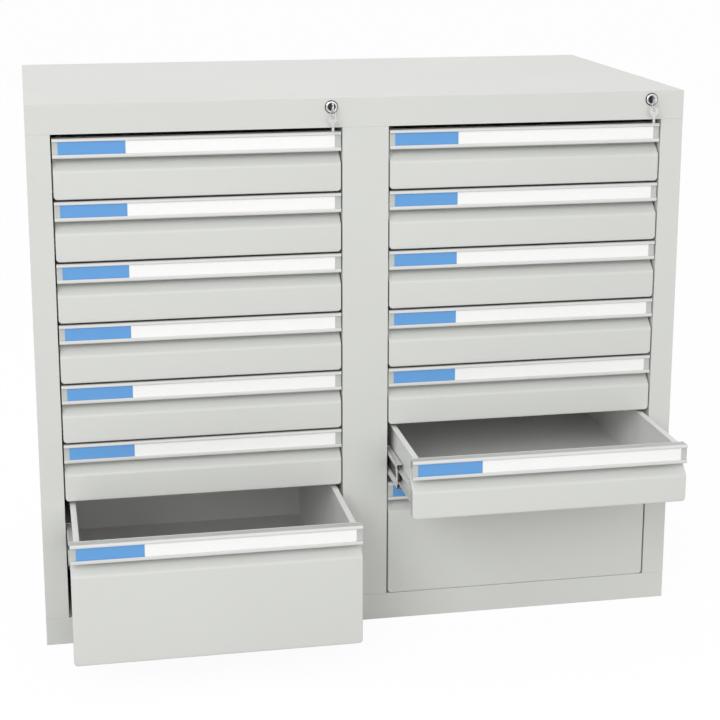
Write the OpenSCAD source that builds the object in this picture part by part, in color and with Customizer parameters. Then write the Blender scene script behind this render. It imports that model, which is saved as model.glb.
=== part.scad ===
// Two-column drawer cabinet in folded sheet steel. Every drawer runs on telescopic
// slides and has a full-width aluminium handle with a label channel. Each column has
// a cam lock in the top cover, which lowers a bar of hooks behind the drawer catches.
// The origin is the centre of the footprint on the floor, +Y runs from front to back.

/* [Cabinet] */
// Depth from the front face to the back
body_d = 600; // [580:10:700]
// Height of the base
base_h = 46; // [40:1:80]
// Height of the top cover
lip_h = 47; // [44:1:80]
// Width of each side wall, seen from the front
stile_w = 38; // [32:1:60]
// Width of the post between the columns
post_w = 76; // [60:1:120]
// Thickness of the cabinet's sheet steel
sheet = 1.5; // [1:0.1:2]
// Width of the opening for one column of drawers
bay_w = 462; // [380:2:520]
// Thickness of the back panel
back_t = 1.2; // [0.8:0.1:2]

/* [Drawers] */
// Height of one drawer unit
unit_h = 100; // [98:1:140]
// Single-height drawers in each column
singles = 6; // [3:1:7]
// Units taken by the tall bottom drawer
tall_units = 2; // [2:1:3]
// Gap between a drawer front and the cabinet beside it
side_gap = 2.2; // [1.5:0.1:4]
// Gap below each drawer front
front_gap = 3.5; // [2:0.1:5]
// Gap between the top drawer front and the top cover
top_gap = 7; // [4:0.5:12]
// Thickness of the drawers' sheet steel
tray_t = 1.2; // [0.8:0.1:1.6]
// Length of a drawer tray, outside
tray_l = 546; // [530:2:550]
// How far the tray's bottom lies above the lower edge of the front
tray_lift = 5; // [3:0.5:7]
// How far the tray's rim lies below the top edge of the front
rim_drop = 2.5; // [1.5:0.5:6]
// Width of the flange folded along the top of the tray's sides
rim_w = 9.5; // [8:0.5:12]
// How far that flange reaches out over the slides
rim_out = 4.5; // [3:0.5:6]
// Depth of the lip folded down inside the tray
rim_lip = 3; // [2:0.5:6]
// Depth of the edge folded back round a drawer front
front_rim = 12; // [8:1:16]
// Radius of the front's lower corners
corner_r = 6; // [4:0.5:10]
// How far the front slopes back to make room for fingers
finger_d = 20.8; // [18:0.2:24]
// Height of that slope
slope_h = 17.5; // [14:0.5:22]
// Height from the top edge of the front to the foot of the slope
slope_drop = 52; // [50:0.5:58]
// How far the left column's tall drawer stands open
left_pull = 188; // [0:1:400]
// How far the right column's lowest single drawer stands open
right_pull = 186; // [0:1:400]

/* [Handles] */
// Height of the handle profile
grip_h = 31.5; // [29:0.5:34]
// Height of the upper lip's face
upper_lip = 5; // [4:0.5:7]
// Height of the lower lip's face
lower_lip = 6; // [4.5:0.5:8]
// Wall thickness of the handle profile
grip_t = 1.5; // [1.2:0.1:2]
// Depth of the label channel behind the lips' faces
channel_d = 1.5; // [1.2:0.1:2]
// How far the lips overlap the label cards
card_hold = 1; // [0.6:0.1:1.5]
// Height of the flange that fixes the handle to the front
fix_h = 16; // [12:1:20]
// Length of the coloured card
tab_l = 105; // [60:5:180]
// Distance from the profile's left end to the coloured card
card_start = 9; // [4:1:20]
// Distance from the white card to the profile's right end
card_end = 10; // [4:1:20]
// Thickness of the cards
card_t = 0.6; // [0.4:0.1:0.8]

/* [Slides] */
// Width of a telescopic slide
slide_w = 13; // [12:0.5:16]
// Height of a telescopic slide
slide_h = 45; // [42:1:48]
// Height of its inner member, which is fixed to the drawer
inner_h = 22; // [20:1:32]
// Length of each slide member
slide_l = 540; // [500:5:545]
// Thickness of the slide members
slide_t = 1.5; // [1.2:0.1:1.8]
// Thickness of the middle member's ball tracks
track_t = 2; // [1.6:0.1:2.4]
// Running clearance between slide members
run = 0.4; // [0.3:0.05:0.6]
// Distance from the front face to the slides
slide_back = 24; // [23:0.5:30]
// Height of a slide above the foot of its unit, the top one on a tall drawer
slide_rise = 31; // [30:1:33]

/* [Locks] */
// Distance from a lock's axis to the right edge of its opening
lock_inset = 18; // [16:0.5:22]
// Distance from a lock's axis to the top of the cabinet
lock_drop = 14; // [13.5:0.5:16]
// Radius of the lock's flange
flange_r = 10.75; // [9.5:0.25:12]
// Thickness of the lock's flange
flange_t = 2.5; // [1.5:0.5:3.5]
// Radius of the lock's housing
lock_r = 8; // [7.5:0.25:8.5]
// Length of the housing behind the front face
lock_l = 24; // [22:1:26]
// Radius of the lock's plug
plug_r = 5.5; // [5:0.25:6]
// Distance from the lock's axis to the cam's pin
cam_r = 9; // [8.5:0.1:9.5]
// Radius of the cam's pin
pin_r = 2; // [1.5:0.1:2.2]
// Thickness of the locking bar and its hooks
bar_t = 3; // [2:0.25:3.5]
// Width of the locking bar
bar_w = 20; // [14:1:30]
// Height of a hook
hook_h = 10; // [8:0.5:10.5]
// How far a hook reaches into the opening
hook_reach = 11; // [8:0.5:11.5]
// Height of a drawer's catch
catch_h = 13; // [12:0.5:14]
// Gap between a hook and the catch that it holds
catch_gap = 2; // [1:0.5:4]

/* [Keys] */
// Thickness of a key
key_t = 1.8; // [1.4:0.1:2]
// Radius of a key's bow
bow_r = 7.5; // [7:0.25:8]
// Radius of the hole in a key's bow
eye_r = 3; // [2.8:0.1:3.2]
// Length from the hole in the bow to the key's tip
key_l = 22.5; // [19:0.5:22.5]
// Width of a key's blade
blade_w = 5; // [4:0.5:6]
// Radius of the key ring, at the middle of its wire
ring_r = 5.8; // [5.5:0.1:6]
// Radius of the key ring's wire
wire_r = 0.6; // [0.5:0.05:0.7]

/* [Hidden] */
$fn = 48;
tall = singles + 1;
units = singles + tall_units;
opening_h = units * unit_h + top_gap;
opening_top = base_h + opening_h;
body_h = opening_top + lip_h;
body_w = 2 * stile_w + post_w + 2 * bay_w;
front_y = -body_d / 2;
back_y = body_d / 2;
front_w = bay_w - 2 * side_gap;
tray_w = bay_w - 2 * slide_w;
tray_y = finger_d + tray_t;
channel_y = channel_d + grip_t;
card_gap = 0.2;
web_y = channel_y + grip_t;
slot_gap = 1;
bore_gap = 0.1;
merge = 0.01;
through = 1;
sheet_gap = 0.15;
weld_gap = 0.05;
seat_gap = 0.3;
bar_gap = 0.5;
pin_gap = 0.8;
cam_t = 2;
cam_edge = 1.7;
cam_clear = 1.5;
arm_edge = 2.2;
nut_flats = 20;
nut_t = 4;
keyway_gap = 0.15;
keyway_l = 14;
pin_out = 2;
plug_stand = 1.8;
bow_stand = 1.2;
bow_shift = 3;
ring_turn = 33;
spare_turn = 60;
catch_rise = 4;
catch_t = 2;
catch_side = 2.5;
hook_clear = 1.5;
bar_foot = 20;
grip_edge = 1;
key_tip = 1;
lock_z = body_h - lock_drop;
cam_drop = cam_r * sin(45);
bar_stroke = 2 * cam_drop;
bar_back = lock_l + bar_gap + cam_t + cam_clear;
eye_y = front_y - plug_stand - bow_stand - bow_r - bow_shift;
ring_top = lock_z - eye_r + wire_r + seat_gap;
ring_low = ring_top - 2 * ring_r;
spare_z = ring_low - eye_r + wire_r + seat_gap;

COLUMNS = ["L", "R"];
DRAWERS = [for (i = [1:tall]) i];
SIDES = ["left", "right"];

POWDER = [0.84, 0.85, 0.83];
ALUMINIUM = [0.88, 0.89, 0.88];
ZINC = [0.72, 0.74, 0.75];
CHROME = [0.80, 0.81, 0.83];
CARD_BLUE = [0.43, 0.67, 0.88];
CARD_WHITE = [0.98, 0.98, 0.98];

// Where the columns and drawers lie
function bay_left(c) = c == 0 ? -body_w / 2 + stile_w : post_w / 2;
function bay_mid(c) = bay_left(c) + bay_w / 2;
function bay_right(c) = bay_left(c) + bay_w;
function unit_count(i) = i == tall ? tall_units : 1;
function front_h(i) = unit_count(i) * unit_h - front_gap;
function front_z(i) = base_h + front_gap + (i == tall ? 0 : (units - i) * unit_h);
function rail_rise(i) = slide_rise + (unit_count(i) - 1) * unit_h;
function catch_z(i) = rail_rise(i) + slide_h / 2 + catch_rise;
function hook_z(i) = front_z(i) + catch_z(i) + catch_h + hook_clear;
function pull(c, i) = c == 0 && i == tall ? left_pull : c == 1 && i == singles ? right_pull : 0;
function lock_x(c) = bay_right(c) - lock_inset;

// A box from its low corner to its high corner
module span(low, high) {
    translate(low) cube(high - low);
}

// A folded steel section, hollow inside, with walls of the sheet's thickness
module section(low, high, ends) {
    wall = [sheet, sheet, ends ? sheet : -through];
    difference() {
        span(low, high);
        span(low + wall, high - wall);
    }
}

// A profile in the Y-Z plane, drawn out along X about the middle
module along_x(length) {
    translate([-length / 2, 0, 0]) rotate([90, 0, 90]) linear_extrude(length) children();
}

// A cylinder along Y from y to y + length
module rod(r, y, length) {
    translate([0, y, 0]) rotate([-90, 0, 0]) cylinder(r = r, h = length);
}

module base() {
    color(POWDER)
    section([-body_w / 2, front_y, 0], [body_w / 2, back_y, base_h], true);
}

// The slots let the locking bars reach up to the locks
module top_cover() {
    color(POWDER)
    difference() {
        section([-body_w / 2, front_y, opening_top], [body_w / 2, back_y, body_h], true);
        for (c = [0, 1]) {
            translate([lock_x(c), 0, lock_z])
            rod(lock_r + sheet_gap, front_y - through, sheet + 2 * through);
            translate([bay_right(c) + sheet + bar_gap, front_y + bar_back, opening_top])
            span([-slot_gap, -slot_gap, -through],
                 [bar_t + slot_gap, bar_w + slot_gap, sheet + through]);
        }
    }
}

// The slots that the hooks of one locking bar pass through
module hook_slots(c) {
    y = front_y + bar_back;
    for (i = DRAWERS)
        translate([bay_right(c), y, hook_z(i)])
        span([-through, -slot_gap, -bar_stroke - slot_gap],
             [sheet + sheet_gap, bar_t + slot_gap, hook_h + slot_gap]);
}

module left_side() {
    color(POWDER)
    section([-body_w / 2, front_y, base_h], [bay_left(0), back_y - back_t, opening_top], false);
}

module right_side() {
    color(POWDER)
    difference() {
        section([bay_right(1), front_y, base_h], [body_w / 2, back_y - back_t, opening_top], false);
        hook_slots(1);
    }
}

module centre_post() {
    color(POWDER)
    difference() {
        section([bay_right(0), front_y, base_h], [bay_left(1), back_y - back_t, opening_top], false);
        hook_slots(0);
    }
}

module back_panel() {
    color(POWDER)
    span([-body_w / 2, back_y - back_t, base_h], [body_w / 2, back_y, opening_top]);
}

// Half sections of the slide members. X runs from the cabinet's wall to the drawer.
module fixed_section() {
    difference() {
        translate([0, -slide_h / 2]) square([slide_w - track_t, slide_h]);
        translate([slide_t, -slide_h / 2 + slide_t]) square([slide_w, slide_h - 2 * slide_t]);
    }
}

module middle_section() {
    half = slide_h / 2 - slide_t - run;
    low = slide_t + run;
    difference() {
        translate([low, -half]) square([slide_w - slide_t - low, 2 * half]);
        translate([low + slide_t, -half + track_t]) square([slide_w, 2 * (half - track_t)]);
    }
}

module inner_section() {
    half = inner_h / 2;
    low = 2 * (slide_t + run);
    web = slide_w - slide_t + run;
    difference() {
        translate([low, -half]) square([slide_w - weld_gap - low, 2 * half]);
        translate([0, -half + slide_t]) square([web, 2 * (half - slide_t)]);
    }
}

// The same member on both sides of a drawer or opening, in the drawer's own place
module rail_pair(rise) {
    for (side = [-1, 1])
        translate([side * bay_w / 2, slide_back, rise]) scale([-side, 1, 1])
        rotate([90, 0, 0]) mirror([0, 0, 1]) linear_extrude(slide_l) children();
}

// Moves a drawer's part from its own place, at the middle of its front's lower edge
module in_bay(c, i, out) {
    translate([bay_mid(c), front_y - out, front_z(i)]) children();
}

module fixed_rails() {
    color(ZINC)
    for (c = [0, 1], i = DRAWERS) in_bay(c, i, 0) rail_pair(rail_rise(i)) fixed_section();
}

module middle_rails(c, i) {
    color(ZINC)
    in_bay(c, i, pull(c, i) / 2) rail_pair(rail_rise(i)) middle_section();
}

// The outline of a front, with round lower corners
module front_outline(w, h, r) {
    translate([-w / 2, r]) square([w, h - r]);
    translate([-w / 2 + r, 0]) square([w - 2 * r, r + through]);
    for (side = [-1, 1]) translate([side * (w / 2 - r), r]) circle(r);
}

// Stands an outline in the X-Z plane up along Y, from y to y + depth
module along_y(y, depth) {
    translate([0, y + depth, 0]) rotate([90, 0, 0]) linear_extrude(depth) children();
}

// The front: a shallow pan below, then a slope back to the handle's seat
module front_panel(h) {
    foot = h - slope_drop;
    head = foot + slope_h;
    t = tray_t;
    difference() {
        along_y(0, front_rim) front_outline(front_w, foot, corner_r);
        along_y(t, front_rim) translate([0, t]) front_outline(front_w - 2 * t, foot, corner_r - t);
    }
    along_x(front_w)
    polygon([[0, foot - merge], [0, foot], [finger_d - t, head], [finger_d - t, h], [finger_d, h],
             [finger_d, head - t / 2], [t, foot - t], [t, foot - t - merge]]);
}

// The tray's tub, with a flange along the top of each side that reaches over the slides
module tray(h) {
    top = h - rim_drop;
    w = tray_w / 2;
    t = tray_t;
    difference() {
        span([-w, finger_d, tray_lift], [w, finger_d + tray_l, top - t - weld_gap]);
        span([-w + t, finger_d + t, tray_lift + t], [w - t, finger_d + tray_l - t, top + through]);
    }
    x1 = w + rim_out;
    x0 = x1 - rim_w;
    y1 = finger_d + tray_l - t - weld_gap;
    for (side = [-1, 1]) scale([side, 1, 1]) {
        span([x0, finger_d + weld_gap, top - t], [x1, y1, top]);
        span([x0, tray_y + weld_gap, top - rim_lip], [x0 + t, y1, top]);
    }
}

// The catch that a hook of the locking bar holds, on the tray's right side
module catch_plate(i) {
    y = bar_back + bar_t + catch_gap;
    span([tray_w / 2 + weld_gap, y, catch_z(i)],
         [bay_w / 2 - catch_side, y + catch_t, catch_z(i) + catch_h]);
}

module drawer_box(c, i) {
    color(POWDER) in_bay(c, i, pull(c, i)) {
        front_panel(front_h(i));
        tray(front_h(i));
        catch_plate(i);
    }
    color(ZINC) in_bay(c, i, pull(c, i)) rail_pair(rail_rise(i)) inner_section();
}

// The handle's profile, with its top edge at zero height
module grip_profile() {
    seat = finger_d - tray_t;
    low = -grip_h;
    polygon([
        [0, -upper_lip], [0, -grip_t], [grip_t, 0], [seat, 0], [seat, -fix_h],
        [seat - grip_t, -fix_h], [seat - grip_t, -grip_t], [web_y, -grip_t], [web_y, low],
        [grip_edge, low], [0, low + grip_edge], [0, low + lower_lip], [channel_d, low + lower_lip],
        [channel_d, low + lower_lip - card_hold], [channel_y, low + lower_lip - card_hold],
        [channel_y, -upper_lip + card_hold], [channel_d, -upper_lip + card_hold],
        [channel_d, -upper_lip]
    ]);
}

// A card in the label channel, from x0 to x1 along the profile
module card(x0, x1) {
    y1 = channel_y - card_gap;
    span([x0, y1 - card_t, -grip_h + lower_lip - card_hold + card_gap],
         [x1, y1, -upper_lip + card_hold - card_gap]);
}

module handle(c, i) {
    in_bay(c, i, pull(c, i)) translate([0, 0, front_h(i)]) {
        color(ALUMINIUM) along_x(front_w) grip_profile();
        left = -front_w / 2 + card_start;
        color(CARD_BLUE) card(left, left + tab_l);
        color(CARD_WHITE) card(left + tab_l + card_gap, front_w / 2 - card_end);
    }
}

module lock_bodies() {
    color(CHROME)
    for (c = [0, 1]) translate([lock_x(c), 0, lock_z]) {
        difference() {
            union() {
                rod(flange_r, front_y - flange_t, flange_t);
                rod(lock_r, front_y - merge, lock_l);
            }
            rod(plug_r + bore_gap, front_y - flange_t - through, lock_l + flange_t + 2 * through);
        }
        difference() {
            translate([0, front_y + sheet, 0]) rotate([-90, 0, 0])
            cylinder(r = nut_flats / 2 / cos(30), h = nut_t, $fn = 6);
            rod(lock_r + sheet_gap, front_y, nut_t + sheet + through);
        }
    }
}

// The plug carries the cam on its back. The cam points up and right when unlocked.
module lock_plug(c) {
    cam_y = front_y + lock_l + bar_gap;
    color(CHROME) translate([lock_x(c), 0, lock_z]) {
        difference() {
            rod(plug_r, front_y - plug_stand, lock_l + plug_stand + bar_gap + merge);
            span([-key_t / 2 - keyway_gap, front_y - plug_stand - through, -blade_w / 2 - keyway_gap],
                 [key_t / 2 + keyway_gap, front_y + keyway_l, blade_w / 2 + keyway_gap]);
        }
        rod(plug_r, cam_y, cam_t);
        rotate([0, -45, 0]) {
            span([0, cam_y, -pin_r - cam_edge], [cam_r, cam_y + cam_t, pin_r + cam_edge]);
            translate([cam_r, 0, 0]) rod(pin_r + cam_edge, cam_y, cam_t);
            translate([cam_r, 0, 0]) rod(pin_r, cam_y, cam_t + bar_t + pin_out);
        }
    }
}

// The bar hangs in the hollow wall and is lowered by the cam's pin in its slotted arm.
// The arm and a hook for each drawer are welded to its edge.
module lock_bar(c) {
    x0 = bay_right(c) + sheet + bar_gap;
    y0 = front_y + bar_back;
    y1 = y0 + bar_t;
    pin_z = lock_z + cam_drop;
    slot_half = pin_r + pin_gap;
    slot_x0 = lock_x(c) + cam_drop;
    slot_x1 = lock_x(c) + cam_r;
    arm_half = slot_half + arm_edge;
    color(ZINC)
    span([x0, y0, base_h + bar_foot], [x0 + bar_t, y0 + bar_w, pin_z + arm_half]);
    color(ZINC) difference() {
        span([slot_x0 - arm_half, y0, pin_z - arm_half], [x0 - weld_gap, y1, pin_z + arm_half]);
        for (x = [slot_x0, slot_x1])
            translate([x, 0, pin_z]) rod(slot_half, y0 - through, bar_t + 2 * through);
        span([slot_x0, y0 - through, pin_z - slot_half], [slot_x1, y1 + through, pin_z + slot_half]);
    }
    color(ZINC) for (i = DRAWERS)
        span([bay_right(c) - hook_reach, y0, hook_z(i)], [x0 - weld_gap, y1, hook_z(i) + hook_h]);
}

// A key laid in the X-Z plane, with the hole at the origin and the blade towards -Z
module key_shape() {
    rotate([90, 0, 0]) translate([0, 0, -key_t / 2]) linear_extrude(key_t)
    difference() {
        union() {
            translate([0, -bow_shift]) circle(bow_r);
            translate([-blade_w / 2, -key_l + key_tip]) square([blade_w, key_l - bow_shift - key_tip]);
            translate([-blade_w / 4, -key_l]) square([blade_w / 2, 2 * key_tip]);
        }
        circle(eye_r);
    }
}

// The key in the lock, its bow upright and its blade in the plug
module key_in_lock(c) {
    color(CHROME) translate([lock_x(c), eye_y, lock_z])
    rotate([90, 0, 0]) rotate([0, 0, 90]) key_shape();
}

module key_ring(c) {
    color(CHROME) translate([lock_x(c), eye_y, ring_top - ring_r])
    rotate([90, 0, ring_turn]) rotate_extrude() translate([ring_r, 0]) circle(wire_r, $fn = 16);
}

module spare_key(c) {
    color(CHROME) translate([lock_x(c), eye_y, spare_z]) rotate([0, 0, spare_turn - 90]) key_shape();
}

base();
top_cover();
left_side();
right_side();
centre_post();
back_panel();
fixed_rails();
lock_bodies();
for (c = [0, 1]) {
    lock_plug(c);
    lock_bar(c);
    key_in_lock(c);
    key_ring(c);
    spare_key(c);
}
for (c = [0, 1], i = DRAWERS) {
    drawer_box(c, i);
    handle(c, i);
    middle_rails(c, i);
}
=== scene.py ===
"""Dresses a two-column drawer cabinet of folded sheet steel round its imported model."""

import logging
import math
from dataclasses import dataclass, field
from enum import Enum
from functools import cache, partial
from typing import Any, Callable, Sequence

import bmesh
import bpy
from mathutils import Matrix, Vector


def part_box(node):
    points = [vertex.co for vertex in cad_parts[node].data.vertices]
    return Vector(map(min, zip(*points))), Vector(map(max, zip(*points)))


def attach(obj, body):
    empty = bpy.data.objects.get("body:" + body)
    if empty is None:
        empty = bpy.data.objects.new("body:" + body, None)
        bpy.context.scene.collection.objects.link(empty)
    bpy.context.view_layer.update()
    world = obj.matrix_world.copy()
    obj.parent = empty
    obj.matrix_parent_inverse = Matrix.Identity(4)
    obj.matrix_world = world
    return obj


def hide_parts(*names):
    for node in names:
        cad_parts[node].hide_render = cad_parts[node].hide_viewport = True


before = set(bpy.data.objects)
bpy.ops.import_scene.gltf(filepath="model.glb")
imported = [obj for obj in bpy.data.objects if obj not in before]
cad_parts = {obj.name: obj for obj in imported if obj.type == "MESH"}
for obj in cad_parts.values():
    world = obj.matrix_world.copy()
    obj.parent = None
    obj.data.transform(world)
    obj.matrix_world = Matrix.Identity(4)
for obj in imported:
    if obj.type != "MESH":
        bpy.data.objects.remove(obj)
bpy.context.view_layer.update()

MM = 0.001
WHITE = (1.0, 1.0, 1.0, 1.0)
CUT = 0.3 * MM
FOLD = 0.4 * MM
QUARTER = math.pi / 2
CREASE = math.radians(35)
log = logging.getLogger("cabinet")

Colour = tuple[float, float, float]
Corner = tuple[float, float, float]
Flat = tuple[float, float]
Shape = bmesh.types.BMesh
Owner = bpy.types.Material | bpy.types.World


class Slot(Enum):
    """The record's material slots."""

    POWDER = "powder_coat"
    HANDLE = "handle_aluminium"
    ZINC = "zinc"
    CHROME = "chrome"
    KEY = "key_steel"


class Axis(Enum):
    """The direction in which an outline is drawn out: where X, Y and Z stand in (first, second, depth)."""

    X = (2, 0, 1)
    Y = (0, 2, 1)
    Z = (0, 1, 2)


def set_values(target: Any, **values: Any) -> None:
    """Sets some properties of a thing, in order."""
    for name, value in values.items():
        setattr(target, name, value)


def maths(operation: str, reflected: bool = False) -> Callable[["Shade", "Value"], "Shade"]:
    """Makes an operator for shades.

    Args:
        operation: The operation of the Math node that it adds.
        reflected: Whether the other value comes first.

    Returns:
        The operator's method.
    """
    def method(self: "Shade", other: "Value") -> "Shade":
        """Adds the Math node and returns its result."""
        pair = (other, self) if reflected else (self, other)
        return self.graph.node("Math", {"operation": operation}, dict(enumerate(pair)))

    return method


class Shade:
    """A socket in a material's graph that takes Python's arithmetic."""

    __add__, __radd__ = maths("ADD"), maths("ADD", True)
    __sub__, __rsub__ = maths("SUBTRACT"), maths("SUBTRACT", True)
    __mul__, __rmul__ = maths("MULTIPLY"), maths("MULTIPLY", True)
    most = maths("MAXIMUM")

    def __init__(self, graph: "Graph", socket: bpy.types.NodeSocket) -> None:
        """Wraps one output socket of the graph."""
        self.graph = graph
        self.socket = socket

    def above(self, edge: float, width: float) -> "Shade":
        """Ramps from 0 to 1 across an edge, over a width round it."""
        ramp = (self - (edge - width / 2)) * (1 / width)
        return self.graph.node("Clamp", {}, {"Value": ramp})


Value = float | Shade


class Graph:
    """The nodes of one material or world."""

    luck = 13.0

    def __init__(self, owner: Owner, output: str) -> None:
        """Clears an owner's graph but for its output.

        Args:
            owner: The material or world.
            output: The kind of its output node, Material or World.
        """
        owner.use_nodes = True
        self.owner = owner
        self.tree = owner.node_tree
        self.tree.nodes.clear()
        self.end = self.tree.nodes.new(f"ShaderNodeOutput{output}")

    def put(self, socket: bpy.types.NodeSocket, value: Any) -> None:
        """Links a shade to a socket, or sets the socket's own value.

        Args:
            socket: The input socket.
            value: The shade or value.
        """
        if isinstance(value, Shade):
            self.tree.links.new(value.socket, socket)
        else:
            socket.default_value = value

    def node(self, kind: str, settings: dict[str, Any], inputs: dict[Any, Any],
             output: int | str = 0) -> Shade:
        """Adds one node.

        Args:
            kind: The node's type, after ShaderNode.
            settings: Its properties, which are set first.
            inputs: Values or shades for its sockets, by name or number.
            output: The output socket to return.

        Returns:
            The chosen output.
        """
        made = self.tree.nodes.new(f"ShaderNode{kind}")
        set_values(made, **settings)
        for key, value in inputs.items():
            self.put(made.inputs[key], value)
        return Shade(self, made.outputs[output])

    def position(self, stretch: Colour = (1, 1, 1)) -> Shade:
        """The point on the piece, moved by a random step so that like pieces differ.

        Args:
            stretch: Scale along the piece's own axes.

        Returns:
            A vector in metres times the stretch.
        """
        spot = self.node("TexCoord", {}, {}, "Object")
        luck = self.node("ObjectInfo", {}, {}, "Random")
        moved = self.node("VectorMath", {"operation": "ADD"}, {0: spot, 1: luck * self.luck})
        return self.node("VectorMath", {"operation": "MULTIPLY"}, {0: moved, 1: stretch})

    def noise(self, spot: Shade, scale: float, detail: float = 2.0, rough: float = 0.5) -> Shade:
        """A noise between 0 and 1 at a scale in cycles per metre."""
        inputs = {"Vector": spot, "Scale": scale, "Detail": detail, "Roughness": rough}
        return self.node("TexNoise", {}, inputs)

    def blend(self, low: Colour | Shade, high: Colour, factor: Shade) -> Shade:
        """Mixes a colour, or a shade of colour, with another by a factor.

        Args:
            low: The colour at a factor of 0.
            high: The colour at a factor of 1.
            factor: The mix.

        Returns:
            The mixed colour.
        """
        start = low if isinstance(low, Shade) else (*low, 1)
        settings = {"data_type": "RGBA", "clamp_factor": True}
        return self.node("Mix", settings, {0: factor, 6: start, 7: (*high, 1)}, 2)

    def bump(self, height: Shade, distance: float, strength: float = 1.0) -> Shade:
        """Turns a height into a normal, with the distance in metres."""
        inputs = {"Height": height, "Distance": distance, "Strength": strength}
        return self.node("Bump", {}, inputs)

    def seen(self) -> Shade:
        """Tells the camera's rays, and those that a glossy or clear surface sends on, from all others.

        Returns:
            1 for those rays, 0 for all others.
        """
        camera, glossy, clear = (self.node("LightPath", {}, {}, f"Is {ray} Ray")
                                 for ray in ("Camera", "Glossy", "Transmission"))
        return camera.most(glossy).most(clear)

    def close(self, surface: Shade) -> Owner:
        """Links the last shader to the output and returns the owner."""
        self.put(self.end.inputs["Surface"], surface)
        return self.owner


@dataclass(frozen=True)
class Finish:
    """A surface finish, which makes its material once."""

    name: str
    slot: Slot
    colour: Colour

    def shade(self, depth: float) -> Colour:
        """Returns the finish's colour, made lighter or darker."""
        return tuple(min(1.0, part * depth) for part in self.colour)

    def sockets(self, graph: Graph) -> dict[str, Any]:
        """Returns the shader's values and shades, by socket name with _ for a space."""
        raise NotImplementedError

    def material(self) -> bpy.types.Material:
        """Builds the finish's material round one Principled shader.

        Returns:
            The material.
        """
        graph = Graph(bpy.data.materials.new(self.name), "Material")
        inputs = {name.replace("_", " "): value for name, value in self.sockets(graph).items()}
        return graph.close(graph.node("BsdfPrincipled", {}, inputs))


@dataclass(frozen=True)
class PowderCoat(Finish):
    """Baked powder paint: a fine orange peel, a faint drift of tone and satin gloss."""

    peel: float = 620.0
    gloss: float = 0.46

    def sockets(self, graph: Graph) -> dict[str, Any]:
        """Works out the paint's look.

        Args:
            graph: The material's graph.

        Returns:
            The shader's values and shades.
        """
        spot = graph.position()
        drift = graph.noise(spot, 4.5, 3.0)
        peel = graph.noise(spot, self.peel, 2.0, 0.55)
        speck = graph.noise(spot, 2400.0, 1.0).above(0.72, 0.05)
        tone = graph.blend(self.shade(0.975), self.shade(1.02), drift)
        return dict(
            Base_Color=graph.blend(tone, self.shade(0.9), speck * 0.35),
            Roughness=self.gloss + 0.10 * peel - 0.05 * drift,
            Normal=graph.bump(peel + 0.35 * drift, 0.05 * MM, 0.55),
            Specular_IOR_Level=0.42,
        )


@dataclass(frozen=True)
class DrawnMetal(Finish):
    """Metal with fine lines along its length, as drawn, rolled or brushed."""

    lines: Colour = (5.0, 900.0, 900.0)
    gloss: float = 0.30
    metal: float = 1.0
    depth: float = 0.012

    def sockets(self, graph: Graph) -> dict[str, Any]:
        """Works out the metal's look.

        Args:
            graph: The material's graph.

        Returns:
            The shader's values and shades.
        """
        lines = graph.noise(graph.position(self.lines), 1.0, 4.0, 0.65)
        cloud = graph.noise(graph.position(), 26.0, 3.0)
        return dict(
            Base_Color=graph.blend(self.shade(0.93), self.shade(1.04), 0.6 * lines + 0.4 * cloud),
            Metallic=self.metal,
            Roughness=self.gloss + 0.16 * (lines - 0.5) + 0.06 * cloud,
            Normal=graph.bump(lines, self.depth * MM, 0.7),
        )


@dataclass(frozen=True)
class ZincPlate(Finish):
    """Rolled and zinc-plated steel, with a faint spangle and dull patches."""

    metal: float = 1.0

    def sockets(self, graph: Graph) -> dict[str, Any]:
        """Works out the plating's look.

        Args:
            graph: The material's graph.

        Returns:
            The shader's values and shades.
        """
        settings = {"feature": "F1", "distance": "EUCLIDEAN"}
        spot = graph.position()
        spangle = graph.node("TexVoronoi", settings, {"Vector": spot, "Scale": 190.0}, "Distance")
        dull = graph.noise(spot, 42.0, 4.0)
        lines = graph.noise(graph.position((900.0, 12.0, 900.0)), 1.0, 2.0)
        return dict(
            Base_Color=graph.blend(self.shade(0.84), self.shade(1.1), 0.5 * spangle + 0.6 * dull),
            Metallic=self.metal,
            Roughness=0.24 + 0.2 * dull + 0.08 * lines,
            Normal=graph.bump(lines + 0.4 * spangle, 0.01 * MM, 0.5),
        )


@dataclass(frozen=True)
class BrightPlate(Finish):
    """Polished plating with light handling marks."""

    gloss: float = 0.09

    def sockets(self, graph: Graph) -> dict[str, Any]:
        """Works out the plating's look.

        Args:
            graph: The material's graph.

        Returns:
            The shader's values and shades.
        """
        spot = graph.position()
        marks = graph.noise(spot, 320.0, 4.0, 0.7)
        rub = graph.noise(graph.position((1600.0, 300.0, 1600.0)), 1.0, 2.0)
        return dict(
            Base_Color=graph.blend(self.shade(0.9), self.shade(1.05), marks),
            Metallic=1.0,
            Roughness=self.gloss + 0.12 * marks.above(0.55, 0.2) + 0.05 * rub,
            Normal=graph.bump(rub, 0.004 * MM, 0.4),
        )


@dataclass(frozen=True)
class LabelCard(Finish):
    """Card stock behind clear film, with paper fibre and a faint unevenness of ink."""

    film: float = 0.1

    def sockets(self, graph: Graph) -> dict[str, Any]:
        """Works out the card's look.

        Args:
            graph: The material's graph.

        Returns:
            The shader's values and shades.
        """
        spot = graph.position()
        fibre = graph.noise(graph.position((900.0, 900.0, 2200.0)), 1.0, 4.0, 0.6)
        ink = graph.noise(spot, 60.0, 3.0)
        return dict(
            Base_Color=graph.blend(self.shade(0.975), self.shade(1.02), 0.5 * fibre + 0.5 * ink),
            Roughness=0.55 + 0.15 * fibre,
            Normal=graph.bump(fibre, 0.012 * MM, 0.5),
            Specular_IOR_Level=0.3,
            Coat_Weight=self.film,
            Coat_Roughness=0.2,
        )


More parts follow.
